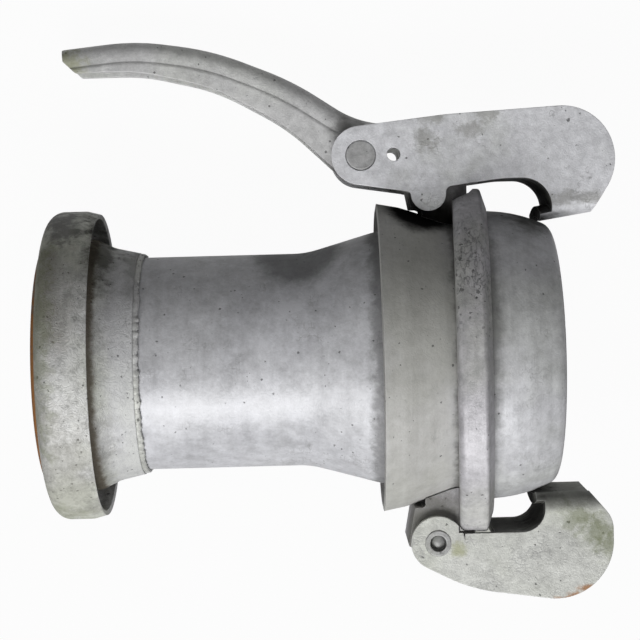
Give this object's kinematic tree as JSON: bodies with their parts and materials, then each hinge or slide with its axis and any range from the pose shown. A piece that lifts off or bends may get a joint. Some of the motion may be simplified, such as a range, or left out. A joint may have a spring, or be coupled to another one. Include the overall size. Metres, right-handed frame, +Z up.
{
  "type": "irrigation pipe reducer",
  "caption": "Galvanised steel pipe reducer for irrigation, with a female bell at the narrow end and a male ball with a lever-lock closure ring at the wide end.",
  "frame": {"origin": "centre of the female mouth, on the pipe axis", "axes": "+X along the pipe axis from the female mouth to the male ball, +Z up as the reducer lies at rest on its collar, its closure ring and the side of its lever"},
  "size_m": [0.3719, 0.3531, 0.226],
  "materials": {
    "zinc_tube": "dull hot-dip galvanised steel, scratched and pitted",
    "zinc_bell": "dull galvanised steel, stained greenish brown",
    "zinc_ball": "dull hot-dip galvanised steel with a mottled zinc skin",
    "zinc_ring": "dull hot-dip galvanised steel, pitted",
    "zinc_hook": "mottled galvanised sheet steel with algae and rust at its edges",
    "zinc_lever": "dark galvanised sheet steel",
    "pin_steel": "dark worn steel",
    "weld_bead": "galvanised weld bead",
    "seal_rubber": "aged black rubber, stained rust brown"
  },
  "bodies": {
    "pipe": {"reducer_tube": "zinc_tube", "female_bell": "zinc_bell", "seal_ring": "seal_rubber", "male_ball": "zinc_ball", "bell_weld": "weld_bead", "ball_weld": "weld_bead", "neck_weld": "weld_bead"},
    "ring": {"closure_ring": "zinc_ring", "lever_lug": "zinc_ring", "counter_lug": "zinc_ring", "lever_lug_welds": "weld_bead", "counter_lug_welds": "weld_bead", "lever_pin": "pin_steel", "counter_pin": "pin_steel"},
    "lever": {"lever": "zinc_lever", "hook_pin": "pin_steel"},
    "lever_hook": {"lever_hook": "zinc_hook"},
    "counter_hook": {"counter_hook": "zinc_hook"}
  },
  "joints": [
    {"name": "ring_turn", "type": "hinge", "parent": "pipe", "child": "ring", "pos_m": [0.2784, 0, 0], "axis": [1, 0, 0], "continuous": true},
    {"name": "lever_pivot", "type": "hinge", "parent": "ring", "child": "lever", "pos_m": [0.2515, 0.10791, -0.04945], "axis": [0, -0.4166, -0.9091], "range_deg": [0, 110]},
    {"name": "lever_hook_pivot", "type": "hinge", "parent": "lever", "child": "lever_hook", "pos_m": [0.2072, 0.11982, -0.05491], "axis": [0, -0.4166, -0.9091], "range_deg": [-110, 0]},
    {"name": "counter_hook_pivot", "type": "hinge", "parent": "ring", "child": "counter_hook", "pos_m": [0.2509, -0.10845, 0.0497], "axis": [0, -0.4166, -0.9091], "range_deg": [0, 110]}
  ],
  "couplings": [
    {"joint": "lever_hook_pivot", "follows": "lever_pivot", "ratio": -1}
  ]
}
